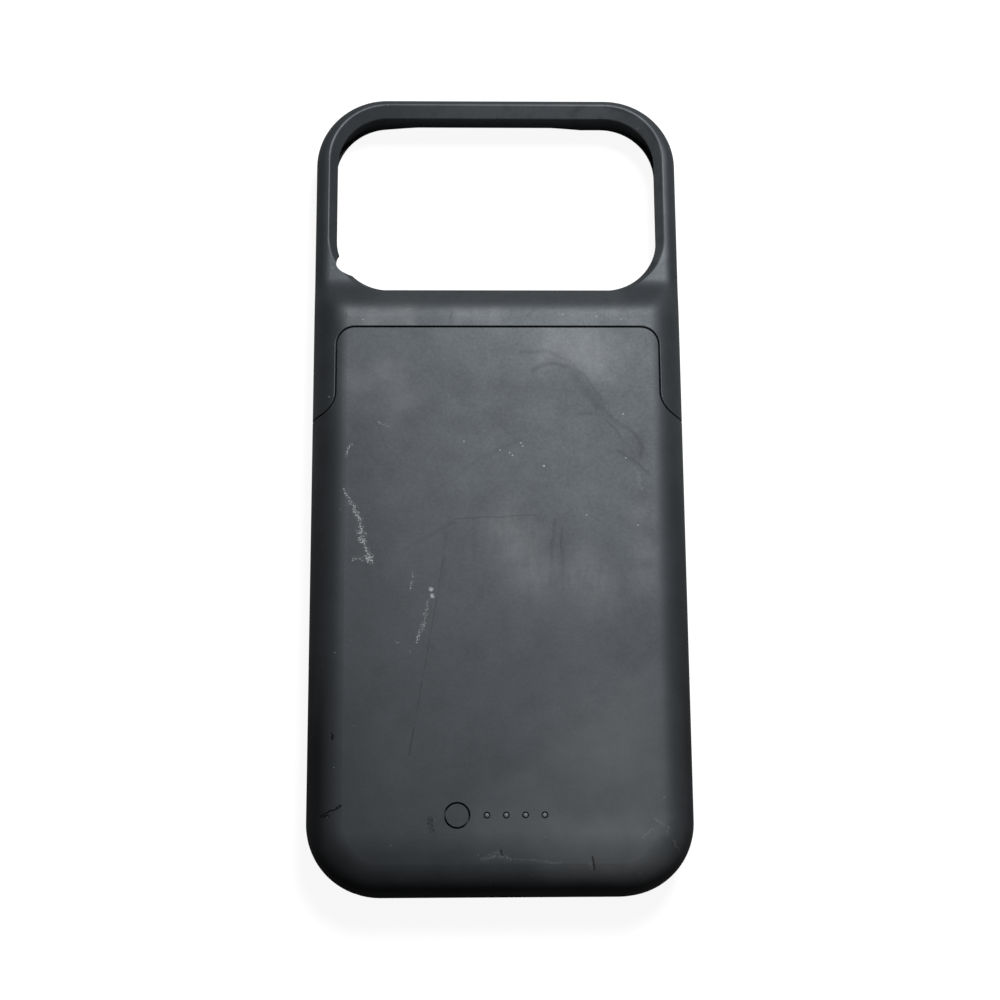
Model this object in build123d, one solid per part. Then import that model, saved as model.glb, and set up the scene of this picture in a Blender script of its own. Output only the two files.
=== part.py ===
from build123d import *
from math import radians, tan
import os

# Driving dimensions, in millimetres. X is across the case, Y runs up to the camera window, and Z rises
# from the front lips, on which the case lies, to its back.

# The phone that the case takes, and the play round it
phone_width = 78.0
phone_length = 163.4
phone_thickness = 8.75
phone_corner = 14.0
phone_clearance = 0.2

# Walls and lips round the phone, and the chin below it
side_wall = 2.2
top_wall = 2.7
chin_length = 15.2
lip_thickness = 1.2
side_lip = 1.6
mic_relief_width = 46.0
mic_relief_depth = 1.05
mic_relief_x = -2.6

# Outer form
top_corner = 16.2
bottom_corner = 15.5
body_round = 8.0
frame_round = 3.5
front_round = 0.6
chin_run = 13.0
chin_drop = 2.4
ramp_length = 11.0
ramp_lead = 2.6
ramp_sections = 9

# Camera window, measured at its narrowest, and the angles at which its walls flare out to the back
window_side = 4.9
window_top = 1.9
window_height = 42.2
window_corner = 12.0
window_top_corner = 11.5
window_rim = 2.55
window_land = 0.5
window_edge = 0.5
side_flare = 40.0
top_flare = 57.0
low_flare = 18.5
chip_radius = 3.0
chip_x = -33.6
chip_y = 50.45

# Seam between the cap and the body, and the rib that the cap slides on
band_width = 11.0
leg_length = 20.2
leg_width = 5.65
tab_corner = 4.0
leg_corner = 5.5
seam_gap = 0.25
seam_edge = 0.2
rail_depth = 0.9
rail_height = 1.4
slide_clearance = 0.2
band_wall = 1.4
band_ribs = 4
band_rib_width = 1.2

# Slots over the phone's own buttons
slot_height = 5.2
slot_edge = 0.5
volume_slot_length = 33.0
volume_slot_from_top = 57.5
power_slot_length = 18.0
power_slot_from_top = 53.0
control_slot_length = 24.0
control_slot_from_top = 109.0

# Back shell and the cradle that drops into it
shell_skin = 1.2
back_wall = 1.35
bed_thickness = 1.0
cradle_fit = 0.08
chin_end_wall = 1.5
scoop_length = 17.0
scoop_run = 4.0
scoop_height = 6.5
scoop_wall = 1.0
scoop_corner = 1.5

# Battery
battery_thickness = 4.5
battery_round = 1.2
battery_side_gap = 1.6
battery_end_gap = 0.5
terrace_length = 4.0
terrace_thickness = 0.5
tape_thickness = 0.3
tape_width = 20.0
tape_pitch = 28.0
tape_end_gap = 6.0
bay_play = 0.2
tab_strip_thickness = 0.15
tab_strip_width = 3.5
tab_strip_foot = 2.2
tab_strip_spread = 14.0
protection_board_width = 40.0

# Main board and its screws
board_width = 60.0
board_thickness = 0.8
board_corner = 0.8
board_above_row = 11.8
board_below_row = 8.2
board_lift = 1.0
screw_inset = 3.0
screw_length = 3.4
screw_diameter = 1.4
screw_clearance = 0.1
screw_head_diameter = 2.6
screw_head_height = 0.8
screw_head_round = 0.4
boss_diameter = 4.4
chip_size = 5.0
chip_height = 0.9
inductor_size = 5.2
inductor_height = 2.2
inductor_corner = 1.0
part_gap = 5.0
part_row_rise = 6.4

# Status row: one button, then four lights
row_from_bottom = 16.65
button_pitch = 6.25
light_pitch = 4.05
light_count = 4
button_diameter = 4.8
button_gap = 0.4
button_flange = 0.85
button_flange_thickness = 0.6
button_stem_diameter = 2.2
button_travel = 0.35
button_play = 0.05
light_hole = 1.45
light_recess = 0.25
light_clearance = 0.15
light_dome = 0.4
pipe_bar_width = 3.2
pipe_bar_thickness = 1.0
pipe_led_gap = 0.2
led_length = 1.6
led_width = 0.8
led_height = 0.6
switch_length = 4.2
switch_width = 3.2
switch_height = 1.4
switch_corner = 0.35
plunger_diameter = 1.9
plunger_rise = 0.5
plunger_depth = 0.5
plunger_clearance = 0.1

# Charge port in the chin and the plug that reaches up into the phone
port_width = 8.94
port_height = 3.26
port_length = 7.35
port_wall = 0.3
port_recess = 0.4
port_opening_gap = 0.33
tongue_width = 6.7
tongue_thickness = 0.7
tongue_length = 4.5
tongue_chamfer = 0.17
plug_width = 8.25
plug_height = 2.4
plug_reach = 6.5
plug_wall = 0.3
plug_tip_round = 0.15
plug_mouth_width = 6.9
plug_mouth_height = 0.9
plug_mouth_depth = 5.6
plug_base_width = 10.4
plug_base_length = 5.4
plug_base_gap = 0.1
chin_board_width = 17.0
chin_board_thickness = 0.8
chin_board_end_gap = 0.25
chin_boss_diameter = 3.0
chin_boss_spread = 6.7
flex_thickness = 0.15
flex_width = 8.0
flex_foot = 3.0

# Levels and edges that follow from the sizes above
margin = 1.0
half_width = phone_width / 2 + phone_clearance + side_wall
case_length = phone_length + 2 * phone_clearance + top_wall + chin_length
case_high = case_length / 2
case_low = -case_length / 2
cavity_half = half_width - side_wall
cavity_high = case_high - top_wall
cavity_low = case_low + chin_length
cavity_corner = phone_corner + phone_clearance
bed_z = lip_thickness + phone_thickness + phone_clearance
bay_z = bed_z + bed_thickness
bay_height = battery_thickness + tape_thickness + bay_play
back_z = bay_z + bay_height
case_depth = back_z + back_wall
frame_depth = bed_z + window_rim
window_half = half_width - window_side
window_high = cavity_high - window_top
window_low = window_high - window_height
flare_z = bed_z + window_land
ramp_high = window_low + ramp_lead
ramp_low = ramp_high - ramp_length
tab_high = window_low - band_width
tab_half = half_width - leg_width
leg_low = tab_high - leg_length
rail_z = (bed_z + case_depth - rail_height) / 2
slot_z = (lip_thickness + bed_z) / 2
row_y = case_low + row_from_bottom
row_half = (button_pitch + light_pitch * (light_count - 1)) / 2
button_x = -row_half
light_x = [button_x + button_pitch + light_pitch * index for index in range(light_count)]
board_z = bay_z + board_lift
board_top = board_z + board_thickness
board_low = row_y - board_below_row
board_high = row_y + board_above_row
terrace_low = board_high + battery_end_gap
battery_low = terrace_low + terrace_length
battery_high = tab_high - shell_skin - battery_end_gap
battery_z = bay_z + bay_play
port_z = slot_z
chin_board_z = port_z + port_height / 2
cradle_inset = shell_skin + cradle_fit
cradle_wall = side_wall - cradle_inset
chin_hollow_low = case_low + cradle_inset + cradle_wall
chin_hollow_high = cavity_low - chin_end_wall
port_low = case_low + port_recess
plug_base_high = chin_hollow_high
plug_base_low = plug_base_high - plug_base_length


def span_block(half, low, high, bottom, top):
    """A block centred across the case, between two Y levels and two Z levels."""
    size = (2 * half, high - low, top - bottom)
    return Pos(0, (low + high) / 2, (bottom + top) / 2) * Box(*size)


def rounded_plan(half, low, high, low_corner=0.0, high_corner=0.0):
    """Plan outline between two Y levels, with a corner radius of its own at each end."""
    sheet = Pos(0, (low + high) / 2) * Rectangle(2 * half, high - low)
    if low_corner > 0:
        sheet = fillet(sheet.vertices().group_by(Axis.Y)[0], low_corner)
    if high_corner > 0:
        sheet = fillet(sheet.vertices().group_by(Axis.Y)[-1], high_corner)
    return sheet


def raise_plan(sheet, bottom, top):
    """Extrudes a plan outline between two Z levels."""
    return extrude(Pos(0, 0, bottom) * sheet, top - bottom)


def end_stadium(width, height, low, high):
    """A bar of stadium section along Y, at the height of the plug and port."""
    start = Plane(origin=(0, high, port_z), x_dir=(1, 0, 0), z_dir=(0, -1, 0))
    return extrude(start * SlotOverall(width, height), high - low)


def body_form(inset=0.0, back_inset=0.0, front=0.0):
    """Thick lower body: its back curves down into the chin and is rounded along its rim."""
    depth = case_depth - back_inset
    chin_start = case_low + chin_run
    outline = rounded_plan(half_width - inset, case_low + inset, ramp_low, bottom_corner - inset)
    back = Line((ramp_low, depth), (chin_start, depth))
    chin = TangentArc([(chin_start, depth), (case_low, depth - chin_drop)], tangent=(-1, 0))
    rest = Polyline(chin @ 1, (case_low, front), (ramp_low, front), back @ 0)
    side_view = make_face([back, chin, rest])
    form = raise_plan(outline, front, case_depth) & extrude(Plane.YZ * side_view, half_width, both=True)
    rim = form.edges().filter_by(Axis.X).group_by(Axis.Y)[0].sort_by(Axis.Z)[-1]
    return fillet(rim, body_round - inset)


def outer_body():
    """The body form with its front edge rounded, as the hand feels it."""
    form = body_form()
    front_edge = form.edges().filter_by(Axis.X).group_by(Axis.Y)[0].sort_by(Axis.Z)[0]
    return fillet(front_edge, front_round)


def outer_frame():
    """Thin frame round the camera window, square at the end that meets the ramp."""
    form = raise_plan(rounded_plan(half_width, ramp_high, case_high, 0, top_corner), 0, frame_depth)
    back_edge = form.edges().filter_by(Axis.X).group_by(Axis.Y)[-1].sort_by(Axis.Z)[-1]
    form = fillet(back_edge, frame_round)
    front_edge = form.edges().filter_by(Axis.X).group_by(Axis.Y)[-1].sort_by(Axis.Z)[0]
    return fillet(front_edge, front_round)


def ramp_section(share):
    """Cross-section of the ramp, from the frame's at 0 to the body's at 1."""
    ease = 1 - (1 - share ** 2) ** 3
    depth = frame_depth + (case_depth - frame_depth) * ease
    rim = frame_round + (body_round - frame_round) * ease
    sheet = Pos(0, depth / 2) * Rectangle(2 * half_width, depth)
    sheet = fillet(sheet.vertices().group_by(Axis.Y)[-1], rim)
    sheet = fillet(sheet.vertices().group_by(Axis.Y)[0], front_round)
    level = ramp_high - share * ramp_length
    return Plane(origin=(0, level, 0), x_dir=(1, 0, 0), z_dir=(0, -1, 0)) * sheet


def outer_ramp():
    """The soft slope from the frame's depth up to the body's."""
    shares = [index / (ramp_sections - 1) for index in range(ramp_sections)]
    return loft([ramp_section(share) for share in shares])


def tab_region(grow=0.0):
    """Plan of all that lies below the seam, grown by a gap or shrunk by a wall."""
    base = case_low - 2 * margin
    tab = Pos(0, (base + tab_high + grow) / 2) * Rectangle(2 * (tab_half + grow), tab_high + grow - base)
    lower = Pos(0, (base + leg_low + grow) / 2) * Rectangle(4 * half_width, leg_low + grow - base)
    sheet = tab + lower
    levels = sheet.vertices().group_by(Axis.Y)
    sheet = fillet(levels[1].sort_by(lambda corner: abs(corner.X))[:2], leg_corner - grow)
    return fillet(sheet.vertices().group_by(Axis.Y)[-1], tab_corner + grow)


def phone_space():
    """The room that the phone takes up, and the way out past the front lips."""
    room = rounded_plan(cavity_half, cavity_low, cavity_high, cavity_corner, cavity_corner)
    corner = cavity_corner - side_lip
    mouth = rounded_plan(cavity_half - side_lip, cavity_low + side_lip, cavity_high, corner, corner)
    left = mic_relief_x - mic_relief_width / 2
    right = mic_relief_x + mic_relief_width / 2
    crown = (mic_relief_x, cavity_high + mic_relief_depth)
    arc = ThreePointArc((left, cavity_high), crown, (right, cavity_high))
    base = Polyline(arc @ 1, (right, cavity_high - margin), (left, cavity_high - margin), arc @ 0)
    mouth += make_face([arc, base])
    return raise_plan(room, lip_thickness, bed_z) + raise_plan(mouth, -margin, lip_thickness)


def window_space():
    """The camera window: straight up from the front lips past the phone's back, then flared."""
    sheet = rounded_plan(window_half, window_low, window_high, window_corner, window_top_corner)
    top = case_depth + margin
    side = (top - flare_z) * tan(radians(side_flare))
    above = (top - flare_z) * tan(radians(top_flare))
    below = (top - flare_z) * tan(radians(low_flare))
    corner = window_corner + (side + below) / 2
    top_corner_wide = window_top_corner + (side + above) / 2
    wide = rounded_plan(window_half + side, window_low - below, window_high + above, corner, top_corner_wide)
    flare = loft([Pos(0, 0, flare_z) * sheet, Pos(0, 0, top) * wide])
    return raise_plan(sheet, lip_thickness, flare_z) + flare


def side_slot(side, from_top, length):
    """Round-ended slot through one side wall, with a chamfer where the finger reaches in."""
    origin = (side * half_width, case_high - from_top, slot_z)
    face = Plane(origin=origin, x_dir=(0, 1, 0), z_dir=(side, 0, 0))
    slot = extrude(face * SlotOverall(length, slot_height), -(side_wall + margin))
    wide = SlotOverall(length + 2 * slot_edge, slot_height + 2 * slot_edge)
    return slot + extrude(face * wide, -slot_edge, taper=45)


def soften_seam(whole, seam, piece):
    """Rounds the outer edge that the seam leaves on a piece cut from the whole form."""
    edges = new_edges(whole, seam, combined=piece)
    return fillet([edge for edge in edges if edge.bounding_box().min.Z > bed_z], seam_edge)


def rail_ring(depth, clearance):
    """The rib along the seam that the cap slides on, or the groove for it with a clearance."""
    ring = tab_region(depth + clearance) - tab_region(-shell_skin / 2)
    ring = raise_plan(ring, rail_z - clearance, rail_z + rail_height + clearance)
    return ring & body_form(shell_skin - clearance, back_wall - clearance)


def band_pockets():
    """Hollows under the band below the window, parted by ribs."""
    low = tab_high + rail_depth + slide_clearance + band_wall
    half = window_half - window_corner
    top = frame_depth + (case_depth - frame_depth) / 2 - band_wall
    high = window_low - (top - flare_z) * tan(radians(low_flare)) - band_wall
    hollow = span_block(half, low, high, bed_z - margin, top)
    step = 2 * half / (band_ribs + 1)
    for index in range(band_ribs):
        rib_x = -half + step * (index + 1)
        rib = Box(band_rib_width, high - low, 2 * case_depth)
        hollow -= Pos(rib_x, (low + high) / 2, 0) * rib
    return hollow


def top_cap():
    """The upper half: window frame, band and the two legs that slide down beside the body."""
    outer = outer_body() + outer_ramp() + outer_frame()
    window = window_space()
    framed = outer - window
    rim = new_edges(outer, window, combined=framed)
    framed = fillet([edge for edge in rim if edge.bounding_box().min.Z > flare_z + window_edge], window_edge)
    seam = raise_plan(tab_region(seam_gap), -margin, case_depth + margin)
    framed = soften_seam(framed, seam, framed - seam)
    framed -= phone_space()
    framed -= rail_ring(rail_depth, slide_clearance)
    framed -= band_pockets()
    framed -= side_slot(1, volume_slot_from_top, volume_slot_length)
    framed -= side_slot(-1, power_slot_from_top, power_slot_length)
    chip = Cylinder(chip_radius, case_depth, align=(Align.CENTER, Align.CENTER, Align.MIN))
    return framed - Pos(chip_x, chip_y, bed_z - margin) * chip


def board_screw_points():
    """Where the main board is screwed to the back shell."""
    across = board_width / 2 - screw_inset
    return [(x, y) for x in (-across, across) for y in (board_low + screw_inset, board_high - screw_inset)]


def chin_screw_points():
    """Where the chin board is screwed to the cradle."""
    behind_port = port_low + port_length
    return [(-chin_boss_spread, behind_port), (chin_boss_spread, behind_port)]


def upright(diameter, bottom, top):
    """A round post between two Z levels."""
    standing = (Align.CENTER, Align.CENTER, Align.MIN)
    return Pos(0, 0, bottom) * Cylinder(diameter / 2, top - bottom, align=standing)


def port_opening():
    """The mouth for a charging plug, through the chin's end."""
    gap = 2 * port_opening_gap
    return end_stadium(port_width + gap, port_height + gap, case_low - margin, chin_hollow_low + margin)


def back_shell():
    """The bath-shaped outer shell, with its rail, screw bosses, and holes for the button and lights."""
    body = outer_body()
    seam = raise_plan(tab_region(), -margin, case_depth + margin)
    shell = soften_seam(body, seam, body & seam)
    inner = body_form(shell_skin, back_wall, -margin)
    inner &= raise_plan(tab_region(-shell_skin), -margin, case_depth)
    shell -= inner
    shell -= phone_space()
    shell += rail_ring(rail_depth, 0)
    for x, y in board_screw_points():
        shell += Pos(x, y) * upright(boss_diameter, board_top, back_z + back_wall / 2)
        shell -= Pos(x, y) * upright(screw_diameter + screw_clearance, board_top - margin, back_z)
    hole = button_diameter + 2 * button_gap
    shell -= Pos(button_x, row_y) * upright(hole, back_z - margin, case_depth + margin)
    for x in light_x:
        shell -= Pos(x, row_y) * upright(light_hole, back_z - margin, case_depth + margin)
    shell -= port_opening()
    return shell - side_slot(-1, control_slot_from_top, control_slot_length)


def sound_scoop(side, wall):
    """The duct from the phone's lower edge out to the front of the chin, grown by a wall."""
    length = scoop_length + 2 * wall
    run = scoop_run + wall
    inner_x = chin_board_width / 2 + 2 * scoop_wall
    sheet = RectangleRounded(length, 2 * run, scoop_corner + wall)
    centre = Pos(side * (inner_x + scoop_length / 2), cavity_low)
    return raise_plan(centre * sheet, -margin, scoop_height + wall)


def phone_cradle():
    """The tray that the phone slides into: bed, side walls, front lips and the hollow chin."""
    tray = body_form(cradle_inset, back_wall)
    tray &= raise_plan(tab_region(-cradle_inset), -margin, bay_z)
    tray -= phone_space()
    hollow_half = cavity_half
    hollow_corner = bottom_corner - side_wall
    hollow = rounded_plan(hollow_half, chin_hollow_low, chin_hollow_high, 0, 0)
    bounds = rounded_plan(hollow_half, chin_hollow_low, cavity_high, hollow_corner, 0)
    room = raise_plan(hollow & bounds, lip_thickness, bay_z + margin)
    for side in (-1, 1):
        room -= sound_scoop(side, scoop_wall)
    tray -= room
    for side in (-1, 1):
        tray -= sound_scoop(side, 0)
    for x, y in chin_screw_points():
        tray += Pos(x, y) * upright(chin_boss_diameter, lip_thickness / 2, chin_board_z)
        tray -= Pos(x, y) * upright(screw_diameter + screw_clearance, lip_thickness, chin_board_z + margin)
    tray -= port_opening()
    gap = 2 * plug_base_gap
    tray -= end_stadium(plug_width + gap, plug_height + gap, chin_hollow_high - margin, cavity_low + margin)
    return tray - side_slot(-1, control_slot_from_top, control_slot_length)


def status_button():
    """Round button, flush with the back, with a flange that holds it in and a stem to the switch."""
    flange_top = back_z - button_play
    flange_low = flange_top - button_flange_thickness
    plunger_top = board_top + switch_height + plunger_rise
    button = upright(button_diameter, flange_low, case_depth)
    button += upright(button_diameter + 2 * button_flange, flange_low, flange_top)
    button += upright(button_stem_diameter, plunger_top, flange_low)
    return Pos(button_x, row_y) * button


def switch_plunger():
    """The small stem of the switch, which the button pushes."""
    low = board_top + switch_height - plunger_depth
    return Pos(button_x, row_y) * upright(plunger_diameter, low, board_top + switch_height + plunger_rise)


def tact_switch():
    """The switch body, soldered to the board, with a well for its plunger."""
    block = Pos(0, 0, board_top + switch_height / 2) * Box(switch_length, switch_width, switch_height)
    block = fillet(block.edges().filter_by(Axis.Z), switch_corner)
    well_low = board_top + switch_height - plunger_depth - button_travel - plunger_clearance
    well = upright(plunger_diameter + 2 * plunger_clearance, well_low, board_top + switch_height + margin)
    return Pos(button_x, row_y) * (block - well)


def light_pipe():
    """One clear moulding: a bar under the back wall with a post up to each light hole."""
    start = light_x[0]
    end = light_x[-1]
    bar = SlotOverall(end - start + pipe_bar_width, pipe_bar_width)
    pipe = raise_plan(Pos((start + end) / 2, row_y) * bar, back_z - pipe_bar_thickness, back_z)
    post_low = board_top + led_height + pipe_led_gap
    post = upright(light_hole - 2 * light_clearance, post_low, case_depth - light_recess)
    post = fillet(post.edges().group_by(Axis.Z)[-1], light_dome)
    for x in light_x:
        pipe += Pos(x, row_y) * post
    return pipe


def status_leds():
    """One small light source under each post of the pipe."""
    leds = []
    for x in light_x:
        leds.append(Pos(x, row_y, board_top + led_height / 2) * Box(led_length, led_width, led_height))
    return Compound(leds)


def main_board():
    """The charging board, with a hole for each screw."""
    sheet = rounded_plan(board_width / 2, board_low, board_high, board_corner, board_corner)
    board = raise_plan(sheet, board_z, board_top)
    hole = upright(screw_diameter + 2 * screw_clearance, board_z - margin, board_top + margin)
    for x, y in board_screw_points():
        board -= Pos(x, y) * hole
    return board


def control_chips():
    """The charge controller and the power converter, left of the board's middle."""
    chips = []
    for step in (0, 1):
        x = -(part_gap + chip_size) / 2 - step * (part_gap + chip_size)
        block = Box(chip_size, chip_size, chip_height)
        chips.append(Pos(x, row_y + part_row_rise, board_top + chip_height / 2) * block)
    return Compound(chips)


def power_inductors():
    """Two square moulded inductors with rounded corners, right of the board's middle."""
    coils = []
    for step in (0, 1):
        x = (part_gap + inductor_size) / 2 + step * (part_gap + inductor_size)
        block = Box(inductor_size, inductor_size, inductor_height)
        block = fillet(block.edges().filter_by(Axis.Z), inductor_corner)
        coils.append(Pos(x, row_y + part_row_rise, board_top + inductor_height / 2) * block)
    return Compound(coils)


def screw():
    """A small pan-head screw, its head below the origin and its shank above."""
    head = upright(screw_head_diameter, -screw_head_height, 0)
    head = fillet(head.edges().group_by(Axis.Z)[0], screw_head_round)
    return head + upright(screw_diameter, 0, screw_length)


def board_screws():
    """The screws of the main board, from below, and of the chin board, from above."""
    screws = [Pos(x, y, board_z) * screw() for x, y in board_screw_points()]
    chin_top = chin_board_z + chin_board_thickness
    screws += [Pos(x, y, chin_top) * Rot(180, 0, 0) * screw() for x, y in chin_screw_points()]
    return Compound(screws)


def battery_cell():
    """Pouch cell with rounded long edges and the thin sealed terrace at its lower end."""
    half = tab_half - shell_skin - battery_side_gap
    cell = span_block(half, battery_low, battery_high, battery_z, battery_z + battery_thickness)
    cell = fillet(cell.edges().filter_by(Axis.Y), battery_round)
    low = board_top + tab_strip_thickness
    return cell + span_block(half - battery_round, terrace_low, battery_low, low, low + terrace_thickness)


def battery_tape():
    """Two strips of tape that hold the cell to the back wall."""
    strips = []
    length = battery_high - battery_low - 2 * tape_end_gap
    for side in (-1, 1):
        strip = Box(tape_width, length, tape_thickness)
        centre = (side * tape_pitch / 2, (battery_low + battery_high) / 2, back_z - tape_thickness / 2)
        strips.append(Pos(*centre) * strip)
    return Compound(strips)


def protection_board():
    """The cell's own small board, under the terrace."""
    low = terrace_low + battery_end_gap / 2
    return span_block(protection_board_width / 2, low, battery_low, board_z, board_top)


def battery_tabs():
    """Two flat strips from the cell's board over to the main board."""
    strips = []
    foot = board_high - tab_strip_foot
    strip = span_block(tab_strip_width / 2, foot, battery_low, board_top, board_top + tab_strip_thickness)
    for side in (-1, 1):
        strips.append(Pos(side * tab_strip_spread, 0) * strip)
    return Compound(strips)


def chin_board():
    """The small board that carries the charge port and the phone plug."""
    low = chin_hollow_low + chin_board_end_gap
    high = chin_hollow_high - chin_board_end_gap
    top = chin_board_z + chin_board_thickness
    board = span_block(chin_board_width / 2, low, high, chin_board_z, top)
    hole = upright(screw_diameter + 2 * screw_clearance, chin_board_z - margin, top + margin)
    for x, y in chin_screw_points():
        board -= Pos(x, y) * hole
    return board


def charge_port_shell():
    """Drawn steel shell of the port, closed at its inner end."""
    shell = end_stadium(port_width, port_height, port_low, port_low + port_length)
    bore_width = port_width - 2 * port_wall
    bore_height = port_height - 2 * port_wall
    bore_high = port_low + port_length - port_wall
    return shell - end_stadium(bore_width, bore_height, port_low - margin, bore_high)


def charge_port_tongue():
    """The contact tongue in the middle of the port."""
    back = port_low + port_length - port_wall
    half_thickness = tongue_thickness / 2
    tongue = span_block(tongue_width / 2, back - tongue_length, back, -half_thickness, half_thickness)
    tip = tongue.edges().filter_by(Axis.X).group_by(Axis.Y)[0]
    return Pos(0, 0, port_z) * chamfer(tip, tongue_chamfer)


def phone_plug_shell():
    """Steel sleeve of the plug, standing up into the phone's end."""
    tip = cavity_low + plug_reach
    sleeve = end_stadium(plug_width, plug_height, plug_base_low, tip)
    sleeve = fillet(sleeve.edges().group_by(Axis.Y)[-1], plug_tip_round)
    bore_width = plug_width - 2 * plug_wall
    bore_height = plug_height - 2 * plug_wall
    return sleeve - end_stadium(bore_width, bore_height, plug_base_low - margin, tip + margin)


def phone_plug_core():
    """Moulded liner inside the sleeve, with the slot for the phone's contact tongue."""
    tip = cavity_low + plug_reach - plug_wall
    core = end_stadium(plug_width - 2 * plug_wall, plug_height - 2 * plug_wall, plug_base_low, tip)
    low = tip - plug_mouth_depth
    mouth_low = port_z - plug_mouth_height / 2
    mouth_high = port_z + plug_mouth_height / 2
    return core - span_block(plug_mouth_width / 2, low, tip + margin, mouth_low, mouth_high)


def plug_base():
    """Moulded block that holds the plug's sleeve against the chin board."""
    half = plug_base_width / 2
    low_z = port_z - port_height / 2
    block = span_block(half, plug_base_low, plug_base_high, low_z, chin_board_z)
    return block - end_stadium(plug_width, plug_height, plug_base_low - margin, plug_base_high + margin)


def link_flex():
    """Flat cable from the chin board, round a bend, to the underside of the main board."""
    low_z = chin_board_z + chin_board_thickness + flex_thickness / 2
    high_z = board_z - flex_thickness / 2
    bend = (high_z - low_z) / 2
    foot_low = board_low + bend
    foot_high = foot_low + flex_foot
    lower = Line((foot_high, low_z), (foot_low, low_z))
    turn = ThreePointArc((foot_low, low_z), (foot_low - bend, low_z + bend), (foot_low, high_z))
    upper = Line((foot_low, high_z), (foot_high, high_z))
    strip = trace(lower + turn + upper, flex_thickness)
    return extrude(Plane.YZ * strip, flex_width / 2, both=True)


nodes = [
    top_cap,
    back_shell,
    phone_cradle,
    status_button,
    switch_plunger,
    tact_switch,
    light_pipe,
    status_leds,
    main_board,
    control_chips,
    power_inductors,
    board_screws,
    battery_cell,
    battery_tape,
    protection_board,
    battery_tabs,
    chin_board,
    charge_port_shell,
    charge_port_tongue,
    phone_plug_shell,
    phone_plug_core,
    plug_base,
    link_flex,
]

os.makedirs("parts", exist_ok=True)
for node in nodes:
    export_step(node(), os.path.join("parts", node.__name__ + ".step"))
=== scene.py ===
import math

import bpy
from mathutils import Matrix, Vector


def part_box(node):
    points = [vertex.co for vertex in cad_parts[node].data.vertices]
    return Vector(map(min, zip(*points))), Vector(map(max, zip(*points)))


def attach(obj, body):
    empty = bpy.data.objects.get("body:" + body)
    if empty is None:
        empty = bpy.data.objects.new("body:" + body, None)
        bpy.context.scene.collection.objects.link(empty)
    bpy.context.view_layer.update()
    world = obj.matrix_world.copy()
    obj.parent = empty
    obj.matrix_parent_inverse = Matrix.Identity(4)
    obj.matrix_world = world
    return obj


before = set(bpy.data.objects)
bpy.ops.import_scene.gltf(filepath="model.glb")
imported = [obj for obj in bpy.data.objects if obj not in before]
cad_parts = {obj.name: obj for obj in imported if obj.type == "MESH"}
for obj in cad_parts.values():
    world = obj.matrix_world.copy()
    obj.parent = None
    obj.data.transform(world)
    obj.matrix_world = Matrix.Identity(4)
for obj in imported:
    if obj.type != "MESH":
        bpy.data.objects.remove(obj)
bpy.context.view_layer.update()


# Phone cradle: the inner tray that the phone lies in, injection moulded in black polycarbonate
# with a fine eroded grain. It snaps into the back shell, and its rim is part of the front lip.

mm_per_m = 1000.0


class Shade:
    """A shader socket that takes part in plain arithmetic."""

    def __init__(self, tree, socket=None):
        self.tree = tree
        self.socket = socket

    def node(self, kind, settings=None, sockets=None, output=0):
        """Adds a node: its settings first, then the values or links of its sockets."""
        added = self.tree.nodes.new(kind)
        for name, value in (settings or {}).items():
            setattr(added, name, value)
        for name, value in (sockets or {}).items():
            if isinstance(value, Shade):
                self.tree.links.new(value.socket, added.inputs[name])
            else:
                added.inputs[name].default_value = value
        return Shade(self.tree, added.outputs[output] if added.outputs else None)

    def maths(self, operation, first, second=0.0, clamp=False):
        settings = {"operation": operation, "use_clamp": clamp}
        return self.node("ShaderNodeMath", settings, {0: first, 1: second})

    def vector(self, operation, sockets, output=0):
        return self.node("ShaderNodeVectorMath", {"operation": operation}, sockets, output)

    def __add__(self, other):
        return self.maths("ADD", self, other)

    def __radd__(self, other):
        return self.maths("ADD", other, self)

    def __sub__(self, other):
        return self.maths("SUBTRACT", self, other)

    def __rsub__(self, other):
        return self.maths("SUBTRACT", other, self)

    def __mul__(self, other):
        return self.maths("MULTIPLY", self, other)

    def __rmul__(self, other):
        return self.maths("MULTIPLY", other, self)

    def over(self, other):
        """The larger of two masks."""
        return self.maths("MAXIMUM", self, other)

    def fade(self, low, high):
        """0 at low to 1 at high, smoothly."""
        sockets = {"Value": self, "From Min": low, "From Max": high}
        return self.node("ShaderNodeMapRange", {"interpolation_type": "SMOOTHSTEP"}, sockets)

    def tint(self, low, high):
        """The colour low where this is 0, and high where it is 1."""
        return self.node("ShaderNodeMix", {"data_type": "RGBA"}, {0: self, 6: low, 7: high}, output=2)

    def axis(self, name):
        """One coordinate of this place."""
        return self.node("ShaderNodeSeparateXYZ", None, {"Vector": self}, output=name)

    def stretch(self, scale, turn=0.0):
        """This place turned by degrees about Z and scaled, so that a pattern runs one way."""
        sockets = {"Vector": self, "Rotation": (0.0, 0.0, math.radians(turn)), "Scale": scale}
        return self.node("ShaderNodeMapping", None, sockets)

    def noise(self, scale, detail=2.0, rough=0.5):
        """Cloudy noise, about 0.5, with clouds of 1 / scale millimetres."""
        sockets = {"Vector": self, "Scale": scale, "Detail": detail, "Roughness": rough}
        return self.node("ShaderNodeTexNoise", None, sockets)

    def cells(self, scale, spread=1.0, metric="EUCLIDEAN"):
        """The way to the nearest of many points, 1 / scale millimetres apart and shifted by spread."""
        sockets = {"Vector": self, "Scale": scale, "Randomness": spread}
        return self.node("ShaderNodeTexVoronoi", {"distance": metric}, sockets)


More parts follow.
